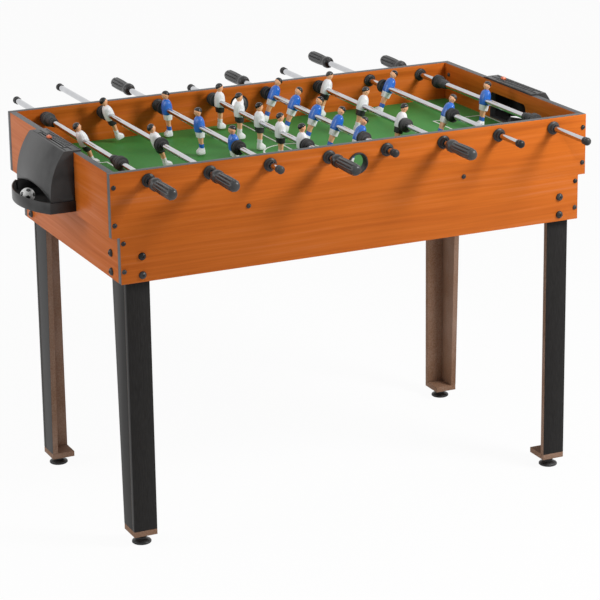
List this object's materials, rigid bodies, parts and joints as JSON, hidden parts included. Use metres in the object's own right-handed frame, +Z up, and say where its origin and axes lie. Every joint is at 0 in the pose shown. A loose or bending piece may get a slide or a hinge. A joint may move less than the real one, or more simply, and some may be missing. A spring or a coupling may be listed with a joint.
{
  "type": "foosball table",
  "caption": "Foosball table with a stepped wood-look cabinet on angle legs, sliding and spinning player rods, goals, ball returns and score markers.",
  "frame": {"origin": "on the floor, under the middle of the whole object's box with the rods as drawn", "axes": "+X towards the right-hand goal, -Y towards the front board, +Z up; the rods lie along Y"},
  "size_m": [1.248, 1.048, 0.812],
  "materials": {
    "cherry_board": "cherry wood-grain laminate, satin",
    "green_field": "printed green laminate, satin",
    "leg_board": "black laminate, satin",
    "hood_plastic": "moulded, fine texture",
    "score_orange": "moulded",
    "ball_white": "moulded",
    "rubber": "matt",
    "chrome_tube": "chromed steel tube",
    "grip_plastic": "moulded, ridged",
    "team_white": "moulded and painted",
    "team_blue": "moulded and painted"
  },
  "bodies": {
    "cabinet": {"front_panel": "cherry_board", "back_panel": "cherry_board", "end_panel_left": "cherry_board", "end_panel_right": "cherry_board", "playfield": "green_field", "leg_front_left": "leg_board", "leg_front_right": "leg_board", "leg_back_left": "leg_board", "leg_back_right": "leg_board", "ball_return_left": "hood_plastic", "ball_return_right": "hood_plastic"},
    "score_left": {"score_slider_left": "score_orange"},
    "score_right": {"score_slider_right": "score_orange"},
    "game_ball": {"ball": "ball_white"},
    "carriage_1": {"bumper_1": "rubber"},
    "rod_1": {"rod_1": "chrome_tube", "handle_1": "grip_plastic", "man_1_1": "team_white"},
    "carriage_2": {"bumper_2": "rubber"},
    "rod_2": {"rod_2": "chrome_tube", "handle_2": "grip_plastic", "man_2_1": "team_white", "man_2_2": "team_white"},
    "carriage_3": {"bumper_3": "rubber"},
    "rod_3": {"rod_3": "chrome_tube", "handle_3": "grip_plastic", "man_3_1": "team_blue", "man_3_2": "team_blue", "man_3_3": "team_blue"},
    "carriage_4": {"bumper_4": "rubber"},
    "rod_4": {"rod_4": "chrome_tube", "handle_4": "grip_plastic", "man_4_1": "team_white", "man_4_2": "team_white", "man_4_3": "team_white", "man_4_4": "team_white", "man_4_5": "team_white"},
    "carriage_5": {"bumper_5": "rubber"},
    "rod_5": {"rod_5": "chrome_tube", "handle_5": "grip_plastic", "man_5_1": "team_blue", "man_5_2": "team_blue", "man_5_3": "team_blue", "man_5_4": "team_blue", "man_5_5": "team_blue"},
    "carriage_6": {"bumper_6": "rubber"},
    "rod_6": {"rod_6": "chrome_tube", "handle_6": "grip_plastic", "man_6_1": "team_white", "man_6_2": "team_white", "man_6_3": "team_white"},
    "carriage_7": {"bumper_7": "rubber"},
    "rod_7": {"rod_7": "chrome_tube", "handle_7": "grip_plastic", "man_7_1": "team_blue", "man_7_2": "team_blue"},
    "carriage_8": {"bumper_8": "rubber"},
    "rod_8": {"rod_8": "chrome_tube", "handle_8": "grip_plastic", "man_8_1": "team_blue"}
  },
  "joints": [
    {"name": "score_left_slide", "type": "slide", "parent": "cabinet", "child": "score_left", "axis": [0, 1, 0], "range_m": [-0.082, 0.04]},
    {"name": "score_right_slide", "type": "slide", "parent": "cabinet", "child": "score_right", "axis": [0, 1, 0], "range_m": [-0.119, 0.003]},
    {"name": "ball_lift", "type": "slide", "parent": "cabinet", "child": "game_ball", "axis": [0, 0, 1], "range_m": [0, 0.06]},
    {"name": "rod_1_slide", "type": "slide", "parent": "cabinet", "child": "carriage_1", "axis": [0, 1, 0], "range_m": [-0.114, 0]},
    {"name": "rod_1_spin", "type": "hinge", "parent": "carriage_1", "child": "rod_1", "pos_m": [-0.455, -0.077, 0.769], "axis": [0, 1, 0], "continuous": true},
    {"name": "rod_2_slide", "type": "slide", "parent": "cabinet", "child": "carriage_2", "axis": [0, 1, 0], "range_m": [-0.22, 0]},
    {"name": "rod_2_spin", "type": "hinge", "parent": "carriage_2", "child": "rod_2", "pos_m": [-0.325, -0.077, 0.769], "axis": [0, 1, 0], "continuous": true},
    {"name": "rod_3_slide", "type": "slide", "parent": "cabinet", "child": "carriage_3", "axis": [0, 1, 0], "range_m": [-0.122, 0.012]},
    {"name": "rod_3_spin", "type": "hinge", "parent": "carriage_3", "child": "rod_3", "pos_m": [-0.195, -0.077, 0.769], "axis": [0, 1, 0], "continuous": true},
    {"name": "rod_4_slide", "type": "slide", "parent": "cabinet", "child": "carriage_4", "axis": [0, 1, 0], "range_m": [-0.07, 0]},
    {"name": "rod_4_spin", "type": "hinge", "parent": "carriage_4", "child": "rod_4", "pos_m": [-0.065, -0.077, 0.769], "axis": [0, 1, 0], "continuous": true},
    {"name": "rod_5_slide", "type": "slide", "parent": "cabinet", "child": "carriage_5", "axis": [0, 1, 0], "range_m": [-0.07, 0]},
    {"name": "rod_5_spin", "type": "hinge", "parent": "carriage_5", "child": "rod_5", "pos_m": [0.065, -0.077, 0.769], "axis": [0, 1, 0], "continuous": true},
    {"name": "rod_6_slide", "type": "slide", "parent": "cabinet", "child": "carriage_6", "axis": [0, 1, 0], "range_m": [-0.134, 0]},
    {"name": "rod_6_spin", "type": "hinge", "parent": "carriage_6", "child": "rod_6", "pos_m": [0.195, -0.077, 0.769], "axis": [0, 1, 0], "continuous": true},
    {"name": "rod_7_slide", "type": "slide", "parent": "cabinet", "child": "carriage_7", "axis": [0, 1, 0], "range_m": [-0.167, 0.053]},
    {"name": "rod_7_spin", "type": "hinge", "parent": "carriage_7", "child": "rod_7", "pos_m": [0.325, -0.077, 0.769], "axis": [0, 1, 0], "continuous": true},
    {"name": "rod_8_slide", "type": "slide", "parent": "cabinet", "child": "carriage_8", "axis": [0, 1, 0], "range_m": [-0.043, 0.071]},
    {"name": "rod_8_spin", "type": "hinge", "parent": "carriage_8", "child": "rod_8", "pos_m": [0.455, -0.077, 0.769], "axis": [0, 1, 0], "continuous": true}
  ]
}
